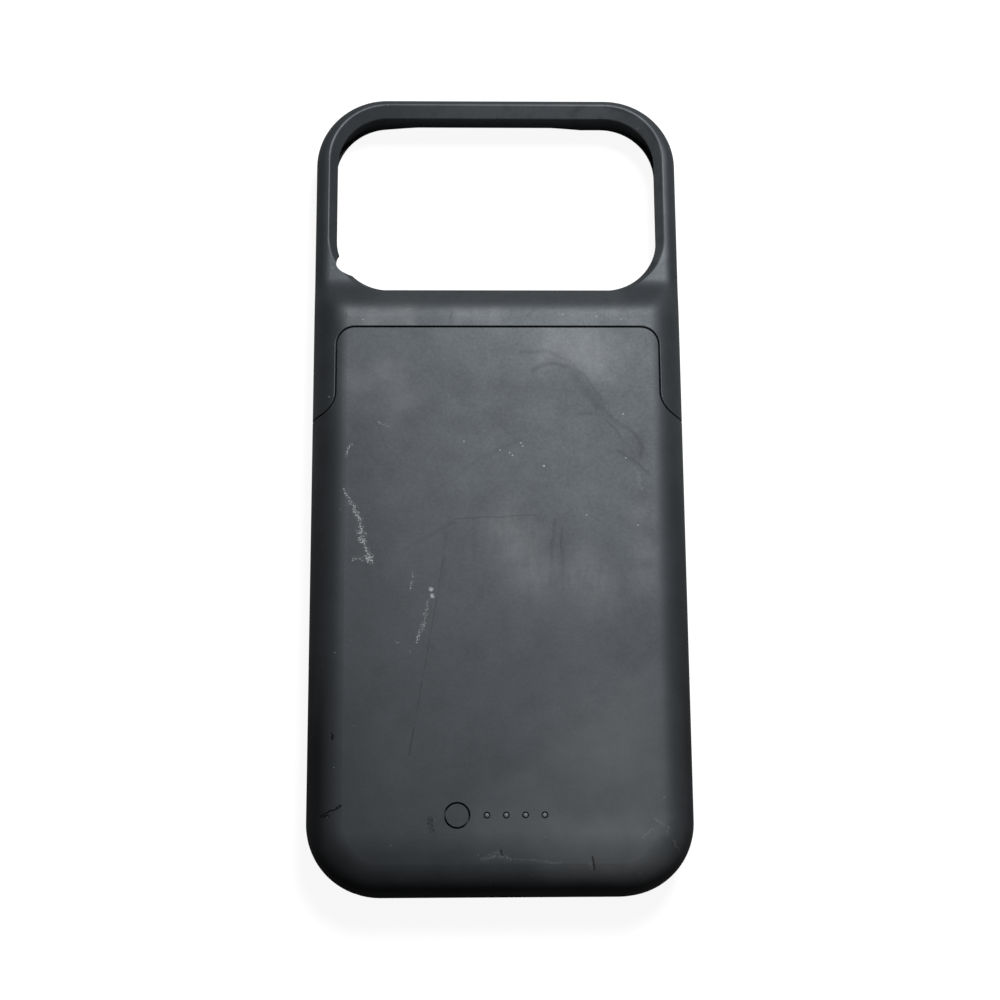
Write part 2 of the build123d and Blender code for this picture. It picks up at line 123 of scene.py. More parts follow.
def blank_finish(name):
    """A new material without nodes, and its surface's place in millimetres."""
    finish = bpy.data.materials.new(name)
    finish.use_nodes = True
    finish.node_tree.nodes.clear()
    place = Shade(finish.node_tree).node("ShaderNodeTexCoord", output="Object")
    return finish, place.vector("SCALE", {0: place, "Scale": mm_per_m})


def close_finish(finish, colour, roughness, height, dirt_and_shade=None, **constants):
    """Joins colour, roughness and relief in millimetres to the shader, under black dirt or painted
    shade.
    """
    start = Shade(finish.node_tree)
    relief = start.node("ShaderNodeBump", None, {"Height": height, "Distance": 1.0 / mm_per_m})
    sockets = {"Base Color": colour, "Roughness": roughness, "Normal": relief}
    for name, value in constants.items():
        sockets[name.replace("_", " ")] = value
    shader = start.node("ShaderNodeBsdfPrincipled", None, sockets)
    if dirt_and_shade is not None:
        black_dirt_and_shade = (0.004, 0.004, 0.004, 1.0)
        sockets = {"Base Color": black_dirt_and_shade, "Roughness": 0.9, "Specular IOR Level": 0.05}
        black = start.node("ShaderNodeBsdfPrincipled", None, sockets)
        shader = start.node("ShaderNodeMixShader", None, {0: dirt_and_shade, 1: shader, 2: black})
    start.node("ShaderNodeOutputMaterial", None, {"Surface": shader})


def dress(finish, *nodes):
    """Gives CAD nodes their finish."""
    for name in nodes:
        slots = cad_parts[name].data.materials
        slots.clear()
        slots.append(finish)


cradle_dark = (0.017, 0.018, 0.020, 1.0)
cradle_rubbed = (0.030, 0.032, 0.034, 1.0)
cradle_finish, place = blank_finish("cradle_plastic")
cradle_grain = place.noise(2.6, 3.0, 0.6)
cradle_rub = place.stretch((0.30, 0.04, 0.30)).noise(1.0, 4.0, 0.6)
cradle_cloud = place.noise(0.05, 3.0, 0.55)
cradle_share = 0.55 * cradle_rub.fade(0.42, 0.72) + 0.45 * cradle_cloud.fade(0.35, 0.7)
close_finish(
    cradle_finish,
    cradle_share.tint(cradle_dark, cradle_rubbed),
    0.46 + 0.16 * cradle_cloud - 0.08 * cradle_rub,
    0.012 * cradle_grain,
    Specular_IOR_Level=0.4,
)
dress(cradle_finish, "phone_cradle")


# Battery cell: a lithium pouch in aluminium laminate, sealed round its edges. Two strips of foam
# tape hold it in the back shell's bay, and two nickel tabs are spot welded to its small board.

foil_light = (0.46, 0.47, 0.48, 1.0)
foil_dull = (0.30, 0.31, 0.32, 1.0)
cell_finish, place = blank_finish("cell_foil")
foil_cloud = place.noise(0.06, 3.0, 0.5)
foil_crease = place.stretch((0.35, 0.10, 0.35), 24.0).noise(1.0, 4.0, 0.6)
foil_roll = place.stretch((0.05, 3.0, 1.0)).noise(1.0, 2.0, 0.5)
close_finish(
    cell_finish,
    (0.6 * foil_cloud.fade(0.3, 0.7) + 0.4 * foil_roll).tint(foil_dull, foil_light),
    0.30 + 0.18 * foil_crease,
    0.09 * foil_crease + 0.004 * foil_roll,
    Metallic=0.85,
)
dress(cell_finish, "battery_cell")

foam_dark = (0.014, 0.014, 0.015, 1.0)
foam_light = (0.045, 0.045, 0.047, 1.0)
tape_finish, place = blank_finish("tape_foam")
foam_cells = place.cells(3.2)
foam_cloud = place.noise(0.2, 3.0, 0.6)
close_finish(
    tape_finish,
    (0.7 * foam_cells.fade(0.1, 0.7) + 0.3 * foam_cloud).tint(foam_dark, foam_light),
    0.85 + 0.1 * foam_cloud,
    0.05 * foam_cells,
)
dress(tape_finish, "battery_tape")

nickel_light = (0.58, 0.56, 0.52, 1.0)
nickel_dull = (0.36, 0.34, 0.31, 1.0)
tab_finish, place = blank_finish("tab_nickel")
nickel_roll = place.stretch((4.0, 0.12, 1.0)).noise(1.0, 3.0, 0.6)
nickel_stain = place.noise(0.35, 3.0, 0.6)
weld_dimples = place.cells(0.9, 0.15)
close_finish(
    tab_finish,
    (0.5 * nickel_roll + 0.5 * nickel_stain.fade(0.3, 0.7)).tint(nickel_dull, nickel_light),
    0.28 + 0.2 * nickel_stain,
    0.01 * nickel_roll + 0.03 * weld_dimples.fade(0.05, 0.25),
    Metallic=1.0,
)
dress(tab_finish, "battery_tabs")


# Circuit boards: glass laminate with a green resist over copper tracks. The main board lies under
# the button and lights, the chin board holds the port, and the cell has its own strip of a board.

resist_deep = (0.006, 0.030, 0.016, 1.0)
resist_over_copper = (0.014, 0.075, 0.036, 1.0)
pad_tin = (0.42, 0.41, 0.38, 1.0)
board_finish, place = blank_finish("board_laminate")
tracks = place.cells(0.8, 0.75, "MANHATTAN")
track_rings = tracks.maths("PINGPONG", tracks, 0.14).fade(0.05, 0.09)
pads = tracks.fade(0.13, 0.10)
weave = place.stretch((2.2, 2.2, 2.2)).noise(1.0, 2.0, 0.5)
board_colour = (0.75 * track_rings + 0.25 * weave).tint(resist_deep, resist_over_copper)
close_finish(
    board_finish,
    pads.tint(board_colour, pad_tin),
    0.34 + 0.14 * weave - 0.06 * pads,
    0.018 * track_rings + 0.008 * weave + 0.012 * pads,
)
dress(board_finish, "main_board", "chin_board", "protection_board")


# Parts on the board: chips, the tact switch with its plunger, and inductors, all moulded in black
# filled epoxy and bare of marks, and charge lamps in clear resin. They are soldered flat.

epoxy_dark = (0.012, 0.012, 0.013, 1.0)
epoxy_grey = (0.038, 0.037, 0.036, 1.0)
epoxy_finish, place = blank_finish("part_epoxy")
epoxy_grain = place.noise(5.0, 3.0, 0.65)
epoxy_cloud = place.noise(0.5, 3.0, 0.5)
close_finish(
    epoxy_finish,
    (0.6 * epoxy_grain.fade(0.35, 0.75) + 0.4 * epoxy_cloud).tint(epoxy_dark, epoxy_grey),
    0.52 + 0.2 * epoxy_cloud,
    0.02 * epoxy_grain,
)
dress(epoxy_finish, "control_chips", "power_inductors", "tact_switch", "switch_plunger")

resin_clear = (0.62, 0.60, 0.50, 1.0)
resin_phosphor = (0.58, 0.46, 0.16, 1.0)
led_finish, place = blank_finish("led_resin")
resin_cloud = place.noise(1.6, 3.0, 0.5)
close_finish(
    led_finish,
    resin_cloud.fade(0.4, 0.65).tint(resin_clear, resin_phosphor),
    0.18 + 0.15 * resin_cloud,
    0.012 * resin_cloud,
)
dress(led_finish, "status_leds")


# Board screws: small pan heads in zinc plated steel, turned on a lathe. Four hold the main board
# to posts in the back shell, and two hold the chin board to posts in the cradle.

zinc_light = (0.55, 0.56, 0.57, 1.0)
zinc_dull = (0.30, 0.30, 0.31, 1.0)
screw_finish, place = blank_finish("screw_steel")
zinc_cloud = place.noise(0.9, 4.0, 0.6)
zinc_turning = place.stretch((0.4, 0.4, 7.0)).noise(1.0, 2.0, 0.5)
close_finish(
    screw_finish,
    (0.6 * zinc_cloud.fade(0.3, 0.7) + 0.4 * zinc_turning).tint(zinc_dull, zinc_light),
    0.24 + 0.22 * zinc_cloud,
    0.006 * zinc_turning,
    Metallic=1.0,
)
dress(screw_finish, "board_screws")


# Link flex: a flat polyimide cable with copper tracks under its amber cover film, folded from
# the chin board up to the main board and soldered at both ends.

film_amber = (0.30, 0.115, 0.018, 1.0)
film_over_copper = (0.48, 0.23, 0.07, 1.0)
flex_finish, place = blank_finish("flex_film")
across = place.axis("X")
flex_tracks = across.maths("PINGPONG", across, 0.35).fade(0.13, 0.19)
film_cloud = place.noise(0.5, 3.0, 0.55)
close_finish(
    flex_finish,
    (0.8 * flex_tracks + 0.3 * film_cloud - 0.1).tint(film_amber, film_over_copper),
    0.26 + 0.16 * film_cloud,
    0.02 * flex_tracks,
    Specular_IOR_Level=0.6,
)
dress(flex_finish, "link_flex")


# Charging port and phone plug: deep drawn stainless sleeves round black moulded liners. The
# plug stands up into the phone's end, and pushing the phone on has rubbed its sleeve bright.

steel_light = (0.56, 0.56, 0.57, 1.0)
steel_dull = (0.33, 0.33, 0.34, 1.0)
port_finish, place = blank_finish("port_steel")
steel_draw = place.stretch((5.0, 0.15, 5.0)).noise(1.0, 3.0, 0.55)
steel_cloud = place.noise(0.4, 3.0, 0.5)
rub_lines = place.stretch((9.0, 0.25, 9.0)).noise(1.0, 2.0, 0.6).fade(0.58, 0.66)
close_finish(
    port_finish,
    (0.5 * steel_cloud + 0.3 * steel_draw + 0.35 * rub_lines).tint(steel_dull, steel_light),
    0.22 + 0.16 * steel_draw + 0.1 * rub_lines,
    0.008 * steel_draw - 0.004 * rub_lines,
    Metallic=1.0,
)
dress(port_finish, "charge_port_shell", "phone_plug_shell")

liner_dark = (0.010, 0.010, 0.011, 1.0)
liner_light = (0.026, 0.026, 0.028, 1.0)
liner_finish, place = blank_finish("plug_plastic")
liner_grain = place.noise(4.0, 3.0, 0.6)
liner_flow = place.stretch((0.8, 0.15, 0.8)).noise(1.0, 3.0, 0.5)
close_finish(
    liner_finish,
    (0.5 * liner_grain + 0.5 * liner_flow.fade(0.35, 0.65)).tint(liner_dark, liner_light),
    0.40 + 0.2 * liner_flow,
    0.012 * liner_grain,
)
dress(liner_finish, "charge_port_tongue", "phone_plug_core", "plug_base")


# Contacts: stamped copper alloy strips, plated with gold and moulded into both faces of the
# port's tongue, twelve to a face, and into the walls of the plug's slot.

gold_light = (0.72, 0.50, 0.19, 1.0)
gold_worn = (0.48, 0.31, 0.12, 1.0)
gold_finish, place = blank_finish("contact_gold")
gold_cloud = place.noise(1.1, 3.0, 0.6)
gold_wipe = place.stretch((12.0, 0.4, 1.0)).noise(1.0, 2.0, 0.5)
close_finish(
    gold_finish,
    (0.6 * gold_cloud.fade(0.3, 0.7) + 0.4 * gold_wipe).tint(gold_worn, gold_light),
    0.20 + 0.18 * gold_wipe,
    0.004 * gold_wipe,
    Metallic=1.0,
)


def contact_row(name, low_y, high_y, face_z, out):
    """Twelve bevelled strips side by side on a face at face_z, standing proud towards out."""
    strip_width = 0.00026
    strip_proud = 0.00004
    strip_bevel = strip_proud * 0.4
    sharp_angle = 35.0
    pitch = 0.0005
    count = 12
    length = high_y - low_y
    bpy.ops.object.select_all(action="DESELECT")
    first_x = -pitch * (count - 1) / 2
    middle = (first_x, (low_y + high_y) / 2, face_z + out * strip_proud / 2)
    bpy.ops.mesh.primitive_cube_add(size=1.0, location=middle, scale=(strip_width, length, strip_proud))
    row = bpy.context.object
    row.name = name
    row.data.name = name
    bpy.ops.object.transform_apply(location=True, rotation=True, scale=True)
    bpy.ops.object.mode_set(mode="EDIT")
    bpy.ops.mesh.select_all(action="SELECT")
    bpy.ops.mesh.bevel(offset=strip_bevel, segments=2, affect="EDGES")
    bpy.ops.object.mode_set(mode="OBJECT")
    side_by_side = row.modifiers.new("side_by_side", "ARRAY")
    side_by_side.count = count
    side_by_side.use_relative_offset = False
    side_by_side.use_constant_offset = True
    side_by_side.constant_offset_displace = (pitch, 0.0, 0.0)
    bpy.ops.object.modifier_apply(modifier="side_by_side")
    bpy.ops.object.shade_smooth_by_angle(angle=math.radians(sharp_angle))
    row.data.materials.append(gold_finish)
    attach(row, "case_body")


tongue_tip_bare = 0.0006
tongue_root_bare = 0.0002
tongue_low, tongue_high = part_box("charge_port_tongue")
contact_start = tongue_low[1] + tongue_tip_bare
contact_end = tongue_high[1] - tongue_root_bare
contact_row("port_contacts_upper", contact_start, contact_end, tongue_high[2], 1.0)
contact_row("port_contacts_lower", contact_start, contact_end, tongue_low[2], -1.0)

slot_half = 0.00045
slot_contact_depth = 0.0050
slot_mouth_bare = 0.0010
plug_low, plug_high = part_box("phone_plug_core")
plug_middle = (plug_low[2] + plug_high[2]) / 2
plug_start = plug_high[1] - slot_contact_depth
plug_end = plug_high[1] - slot_mouth_bare
contact_row("plug_contacts_upper", plug_start, plug_end, plug_middle + slot_half, -1.0)
contact_row("plug_contacts_lower", plug_start, plug_end, plug_middle - slot_half, 1.0)


# Light pipe: one piece of milky polycarbonate with four pegs, which carries the light of the
# charge lamps up into four small holes in the back, a little below the surface.

pipe_clear = (0.050, 0.053, 0.055, 1.0)
pipe_milky = (0.100, 0.105, 0.108, 1.0)
pipe_finish, place = blank_finish("clear_plastic")
pipe_cloud = place.noise(1.4, 3.0, 0.5)
pipe_dust = place.noise(6.0, 2.0, 0.6)
close_finish(
    pipe_finish,
    (0.7 * pipe_cloud.fade(0.3, 0.7) + 0.3 * pipe_dust).tint(pipe_clear, pipe_milky),
    0.42 + 0.2 * pipe_dust,
    0.010 * pipe_dust,
)
dress(pipe_finish, "light_pipe")


# Back shell: the large outer half, moulded in dark grey polycarbonate and sprayed with a soft
# touch lacquer. Hands have clouded it, and keys and coins have left chalky scuffs and scratches.


def soft_touch(place):
    """The sprayed lacquer's own colour, roughness and relief, before any marks."""
    lacquer_dark = (0.0110, 0.0127, 0.0144, 1.0)
    lacquer_light = (0.0218, 0.0247, 0.0276, 1.0)
    cloud = place.noise(0.045, 4.0, 0.6)
    mottle = place.noise(0.20, 5.0, 0.62)
    grain = place.noise(1.5, 3.0, 0.75)
    share = 0.35 * cloud.fade(0.3, 0.7) + 0.35 * mottle.fade(0.3, 0.7) + 0.30 * grain.fade(0.3, 0.7)
    colour = share.tint(lacquer_dark, lacquer_light)
    roughness = 0.635 - 0.030 * cloud.fade(0.32, 0.68) - 0.024 * mottle.fade(0.3, 0.7) - 0.120 * grain
    relief = 0.004 * mottle + 0.006 * grain
    return colour, roughness, relief


def flat_place(place):
    """The place seen from straight above, for marks drawn in plan."""
    return place.vector("MULTIPLY", {0: place, 1: (1.0, 1.0, 0.0)})


def shaken(flat, scale, reach):
    """The plan shifted to and fro by noise, so that marks drawn on it get ragged edges."""
    sockets = {"Vector": flat, "Scale": scale, "Detail": 3.0}
    shift = flat.node("ShaderNodeTexNoise", None, sockets, output="Color")
    shift = flat.vector("SUBTRACT", {0: shift, 1: (0.5, 0.5, 0.5)})
    return flat.vector("MULTIPLY_ADD", {0: shift, 1: (reach, reach, 0.0), 2: flat})


def spots(flat, centres, size, soft=0.4):
    """1 from each centre out to soft times the size, and down to 0 at the size."""
    nearest = None
    for centre_x, centre_y in centres:
        distance = flat.vector("DISTANCE", {0: flat, 1: (centre_x, centre_y, 0.0)}, output="Value")
        nearest = distance if nearest is None else nearest.maths("MINIMUM", nearest, distance)
    return nearest.fade(size, size * soft)


def stroke(flat, points, width, soft):
    """1 along a mark drawn through points, from soft times its width down to 0 at its width."""
    nearest = None
    for (start_x, start_y), (end_x, end_y) in zip(points, points[1:]):
        run_x = end_x - start_x
        run_y = end_y - start_y
        square = run_x ** 2 + run_y ** 2
        share = (run_x / square, run_y / square, 0.0)
        away = flat.vector("SUBTRACT", {0: flat, 1: (start_x, start_y, 0.0)})
        along = flat.vector("DOT_PRODUCT", {0: away, 1: share}, output="Value")
        along = along.maths("ADD", along, 0.0, clamp=True)
        reach = flat.vector("SCALE", {0: (run_x, run_y, 0.0), "Scale": along})
        distance = flat.vector("DISTANCE", {0: away, 1: reach}, output="Value")
        nearest = distance if nearest is None else nearest.maths("MINIMUM", nearest, distance)
    return nearest.fade(width, width * soft)


def drawn(flat, marks):
    """Several strokes as one mask. Each mark is its strength, width, soft share and points."""
    mask = None
    for strength, width, soft, points in marks:
        mark = strength * stroke(flat, points, width, soft)
        mask = mark if mask is None else mask.over(mark)
    return mask


lacquer_shine = {"Specular_IOR_Level": 0.42, "Specular_Tint": (0.925, 1.0, 1.075, 1.0)}
skin_oil_roughness = 0.56
chalk = (0.30, 0.32, 0.33, 1.0)
painted_sheen_pale = (0.042, 0.045, 0.048, 1.0)
painted_shade_dark = (0.003, 0.003, 0.004, 1.0)
back_finish, place = blank_finish("case_plastic_back")
back_colour, back_roughness, back_relief = soft_touch(place)
flat = flat_place(place)
ragged = shaken(flat, 0.9, 1.6)
waved = shaken(flat, 0.16, 1.6)
smeared = shaken(flat, 0.14, 14.0)
flecks = flat.noise(2.8, 3.0, 0.75)
crumbs = flecks.fade(0.46, 0.60)

# Skin oil wiped down the back by thumbs, and places rubbed dull, whose darker colour is painted shade.
palm = [(25.2, -62.9), (29.2, -71.2), (20.7, -79.5), (8.0, -82.0), (30.0, -84.0)]
fingertips = [(13.8, 29.6), (18.2, 28.9), (22.0, 26.8)]
thumb_middle = [(1.5, -12.5), (4.5, -17.0), (7.0, -22.5)]
thumb_right = [(18.5, -23.0), (21.5, -26.0)]
right_edge = [(31.0, -10.0), (31.2, -17.0), (30.6, -24.0)]
upper_left = [(-30.5, 21.7), (-25.0, 22.0), (-21.7, 17.3)]
oily = spots(smeared, palm, 24.0, 0.0)
oily = oily.over(0.7 * spots(smeared, fingertips, 9.0, 0.0))
thumbed = shaken(flat, 0.25, 5.0)
wiped_down = flat.stretch((0.7, 0.14, 1.0), 3.0).noise(1.0, 4.0, 0.75)
wiped_down = 0.6 + 0.4 * wiped_down.fade(0.34, 0.64)
oily = oily.over(0.9 * wiped_down * spots(thumbed, thumb_middle, 9.0, 0.0))
oily = oily.over(0.75 * wiped_down * spots(thumbed, thumb_right, 9.0, 0.0))
oily = oily.over(0.5 * wiped_down * spots(thumbed, right_edge, 5.0, 0.0))
oily = oily.over(0.5 * spots(smeared, upper_left, 7.0, 0.0))

left_side = [
    (0.9, 17.0, 0.0, [(-36.0, 6.0), (-33.0, -12.0), (-31.0, -30.0), (-33.0, -46.0)]),
    (1.0, 17.0, 0.0, [(-33.0, -46.0), (-37.0, -62.0), (-37.0, -74.0), (-34.0, -84.0)]),
]
middle_patches = [(1.0, 20.0), (4.0, 14.0), (8.0, 18.0), (30.5, -34.0)]
right_patches = [(33.5, 4.0), (34.0, -4.0), (34.0, -11.0)]
# The dull places are rougher, and their darker colour is painted shade, deepest down the left edge.
dull_and_shade = drawn(smeared, left_side)
dull_and_shade = dull_and_shade.over(0.6 * spots(smeared, [(0.9, -64.8)], 6.0, 0.0))
dull_and_shade = dull_and_shade.over(0.5 * spots(smeared, middle_patches, 13.0, 0.0))
dull_and_shade = dull_and_shade.over(0.5 * spots(flat, right_patches, 8.0, 0.0))

# Arcs at the upper right and wisps elsewhere, where a finger has wiped the bloom off.
outer_arc = [(5.1, 27.4), (11.3, 27.4), (15.5, 25.4), (17.7, 23.3)]
outer_arc += [(20.1, 20.6), (22.5, 16.6), (23.5, 13.4)]
inner_arc = [(7.7, 23.3), (9.3, 24.2), (12.8, 24.7), (15.5, 24.2), (18.1, 22.4)]
lower_arc = [(23.5, 13.4), (25.5, 11.8), (28.5, 9.8), (30.7, 7.3), (31.7, 5.2), (31.2, 3.0)]
wipes = [
    (0.7, 0.7, 0.1, outer_arc),
    (0.9, 0.8, 0.1, inner_arc),
    (0.7, 2.2, 0.0, [(16.6, 22.8), (19.4, 18.7), (22.4, 14.4)]),
    (0.8, 0.9, 0.1, lower_arc),
    (0.7, 0.6, 0.1, [(23.6, 12.0), (26.0, 9.4), (26.6, 7.6)]),
    (0.9, 0.6, 0.1, [(26.4, 4.3), (28.4, 3.0), (30.5, 1.8), (32.9, -0.7)]),
    (0.4, 0.8, 0.0, [(14.9, 12.1), (18.9, 13.0), (23.5, 12.7)]),
    (0.6, 0.9, 0.1, [(-20.4, -17.3), (-15.0, -14.4), (-9.6, -11.3)]),
    (0.4, 0.8, 0.1, [(-15.7, -5.8), (-9.6, -1.5), (-3.7, 3.2), (4.7, 7.1)]),
    (0.4, 0.8, 0.0, [(-5.3, -10.4), (-5.5, -19.7)]),
    (0.5, 0.8, 0.0, [(-11.7, -14.2), (-12.3, -24.8)]),
    (0.9, 0.8, 0.1, [(12.2, -10.9), (11.4, -17.6), (10.9, -25.3)]),
    (0.8, 0.6, 0.1, [(13.6, -12.5), (13.7, -26.4)]),
    (0.6, 1.0, 0.1, [(24.4, -60.7), (23.5, -66.0), (22.1, -70.2)]),
    (0.6, 0.4, 0.2, [(-27.6, 12.1), (-26.2, 9.4), (-24.4, 5.3)]),
]
wiped_off = drawn(waved, wipes)

# Dark marks: two hairline scratches, nicks along the edges, and a smudge beside the button.
long_scratch = [(-12.2, -19.1), (-13.2, -26.3), (-14.5, -33.9), (-19.3, -61.6)]
scratch_end = [(-18.3, -55.8), (-19.3, -61.6)]
cross_scratch = [(-9.6, -10.7), (-4.2, -10.2), (7.8, -9.8)]
hairlines = 0.6 * stroke(flat, long_scratch, 0.17, 0.2)
hairlines = hairlines * flat.noise(0.25, 2.0, 0.6).fade(0.30, 0.60)
hairlines = hairlines.over(0.8 * stroke(flat, scratch_end, 0.19, 0.2))
hairlines = hairlines.over(0.5 * stroke(waved, cross_scratch, 0.24, 0.1))

edge_nicks = [
    (1.0, 0.32, 0.3, [(-37.9, -74.2), (-36.4, -73.4), (-35.4, -73.2), (-33.7, -71.9)]),
    (1.0, 0.30, 0.3, [(-37.6, -74.7), (-36.4, -74.2)]),
    (1.0, 0.25, 0.3, [(-35.9, -57.2), (-35.5, -57.9), (-35.8, -58.3)]),
    (0.8, 0.20, 0.2, [(0.0, -81.5), (0.2, -82.5)]),
]
nicks = drawn(ragged, edge_nicks)
nicks = nicks.over(0.8 * stroke(waved, [(19.0, -83.3), (19.4, -84.8), (19.5, -85.8)], 0.25, 0.2))
smudge = stroke(ragged, [(-15.0, -74.8), (-14.6, -76.2), (-14.4, -77.4)], 0.8, 0.4) * crumbs

# Chalky marks: the heavy scuff on the left with its tails, small scuffs, fine scrapes and dust.
heavy = [(-31.4, -8.1), (-30.3, -11.0), (-29.4, -14.8), (-28.6, -18.3), (-27.8, -20.0)]
heavy_lumps = [(-30.0, -13.4), (-29.8, -15.0), (-28.1, -19.3)]
light_scuffs = [
    (0.90, 1.1, 0.0, [(-33.7, -4.2), (-31.4, -8.1), (-30.3, -11.0)]),
    (0.80, 1.2, 0.0, [(-31.7, -19.5), (-30.4, -19.3), (-29.4, -19.8)]),
    (0.90, 1.0, 0.0, [(-32.5, 6.0), (-33.4, 3.5)]),
    (0.75, 0.8, 0.0, [(-26.2, 11.0), (-24.0, 10.2)]),
    (0.85, 1.0, 0.0, [(-15.4, -28.5), (-16.4, -34.1), (-17.9, -37.6)]),
    (0.75, 0.7, 0.0, [(-18.6, -22.4), (-19.2, -26.3)]),
]
scuffs = stroke(ragged, heavy, 1.7, 0.0)
scuffs = scuffs.over(spots(ragged, heavy_lumps, 1.7, 0.3))
scuffs = scuffs * (0.78 + 0.22 * flat.noise(0.6, 2.0, 0.6).fade(0.35, 0.60))
scuffs = scuffs.over(drawn(ragged, light_scuffs))
scuffs = scuffs.over(0.8 * spots(ragged, [(-19.2, -39.7), (-22.2, -37.6)], 0.9, 0.0))
scuffs = (0.30 * scuffs + flecks).fade(0.74, 0.86) * scuffs.fade(0.0, 0.3)
scuffs = scuffs.over(0.9 * spots(ragged, [(-14.8, -26.1), (-14.5, -27.6)], 0.6, 0.3))

ragged_scrapes = [
    (1.0, 0.90, 0.0, [(-3.8, -83.2), (-1.0, -82.4), (1.6, -83.2)]),
    (1.0, 0.32, 0.1, [(31.9, -75.0), (35.0, -76.8), (34.8, -78.2)]),
    (1.0, 0.40, 0.1, [(29.7, -78.9), (31.8, -77.3)]),
    (1.0, 0.30, 0.1, [(36.0, -79.4), (37.7, -81.9)]),
    (0.8, 0.80, 0.0, [(30.3, 0.2), (30.9, -4.0)]),
]
scrapes = drawn(ragged, ragged_scrapes)
scrapes = scrapes.over(0.8 * stroke(waved, [(1.6, -83.2), (4.5, -83.5), (12.5, -83.9)], 0.35, 0.0))
scrapes = scrapes.over(stroke(flat, [(18.6, -83.9), (18.9, -85.5)], 0.3, 0.2))
scrapes = scrapes * crumbs

large_speck = (9.9, 1.2)
specks = [(0.3, 4.8), (2.4, 4.2), (3.0, 3.6), (4.9, 6.4), (5.3, 5.7), (19.1, -9.8), (30.2, -12.1)]
specks += [(27.9, 3.0), (27.5, 13.0), (-7.6, 6.8)]
dust = 0.7 * spots(flat, specks, 0.20).over(spots(flat, [large_speck], 0.30))
dust = dust.over(0.4 * flat.noise(1.15, 2.0, 0.5).fade(0.75, 0.81))

# Painted shade on the rolled edges, deepest at the chin and on the left, and a chin rubbed in streaks.
along = place.axis("Y")
height = place.axis("Z")
side = place.axis("X")
painted_edge_shade = 0.30 * along.fade(10.0, -28.0) + 0.25 * along.fade(-28.0, -62.0)
painted_edge_shade = painted_edge_shade + 0.25 * along.fade(-76.0, -88.0)
painted_edge_shade = painted_edge_shade * height.fade(16.6, 13.6)
painted_edge_shade = painted_edge_shade.over(0.6 * side.fade(-36.2, -38.8) * along.fade(-36.0, -62.0))
chin_streaks = place.stretch((0.06, 1.3, 1.3)).noise(1.0, 3.0, 0.6)
chin_rub = along.fade(-79.0, -84.0) * (chin_streaks - 0.5)
# A painted sheen: pale patches in colour on the chin's right, where skin oil would shine.
chin_painted_sheen = spots(smeared, [(16.0, -82.5), (23.0, -82.5), (29.0, -81.5)], 12.0, 0.0)

back_colour = (0.8 * chin_painted_sheen).tint(back_colour, painted_sheen_pale)
back_colour = (0.45 * dull_and_shade).tint(back_colour, painted_shade_dark)
back_colour = (0.20 * scrapes).tint(back_colour, chalk)
back_colour = (0.8 * scuffs).tint(back_colour, chalk)
back_colour = dust.tint(back_colour, chalk)
back_roughness = back_roughness + 0.055 * wiped_off + 0.035 * dull_and_shade + 0.22 * chin_rub + 0.20 * scuffs
close_finish(
    back_finish,
    back_colour,
    back_roughness,
    back_relief - 0.10 * nicks,
    # The black mix holds the real nicks, hairlines and smudge, and the painted shade on the edges.
    dirt_and_shade=(0.9 * nicks).over(0.45 * hairlines).over(0.85 * smudge).over(painted_edge_shade),
    Coat_Weight=0.5 * oily,
    Coat_Roughness=skin_oil_roughness,
    **lacquer_shine,
)
dress(back_finish, "back_shell")


# Status button: a round key in the same plastic and lacquer, which sits flush in its hole and
# presses the tact switch below. Fingers have rubbed its middle a little smoother.

button_finish, place = blank_finish("button_plastic")
button_colour, button_roughness, button_relief = soft_touch(place)
button_low, button_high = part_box("status_button")
button_x = mm_per_m * (button_low[0] + button_high[0]) / 2
button_y = mm_per_m * (button_low[1] + button_high[1]) / 2
button_rub = spots(flat_place(place), [(button_x, button_y)], 2.2, 0.1)
close_finish(
    button_finish,
    button_colour,
    button_roughness - 0.008 * button_rub,
    button_relief,
    **lacquer_shine,
)
dress(button_finish, "status_button")


# Top cap: the hooped end with the camera window, moulded and sprayed as the back shell is. It
# slides down over a rib along the body's seam, and comes off upwards to let the phone in.

cap_finish, place = blank_finish("case_plastic_cap")
cap_colour, cap_roughness, cap_relief = soft_touch(place)
flat = flat_place(place)
waved = shaken(flat, 0.16, 3.0)
smeared = shaken(flat, 0.30, 6.0)
left_prints = [(-33.0, 37.0), (-27.6, 35.6), (-24.4, 35.8), (-21.3, 36.1)]
middle_prints = [(-7.8, 36.1), (-4.4, 36.3), (-0.8, 36.1)]
right_prints = [(15.0, 35.2), (25.5, 36.1), (30.0, 35.9)]
cap_oily = 1.6 * spots(smeared, left_prints, 6.0, 0.0)
cap_oily = cap_oily.over(spots(smeared, middle_prints, 4.0, 0.0))
cap_oily = cap_oily.over(0.5 * spots(smeared, right_prints, 4.0, 0.0))
cap_wisps = stroke(waved, [(-10.0, 37.8), (-10.6, 34.4)], 0.7, 0.1)
cap_wisps = cap_wisps.over(stroke(waved, [(8.4, 38.2), (7.0, 35.2)], 0.7, 0.1))
cap_specks = [(-37.3, 17.2), (-30.0, 34.8), (22.0, 35.6), (14.5, 36.0), (27.5, 35.0)]
cap_dust = 0.6 * spots(flat, cap_specks, 0.18)
cap_dust = cap_dust.over(0.35 * flat.noise(1.2, 2.0, 0.5).fade(0.75, 0.81))

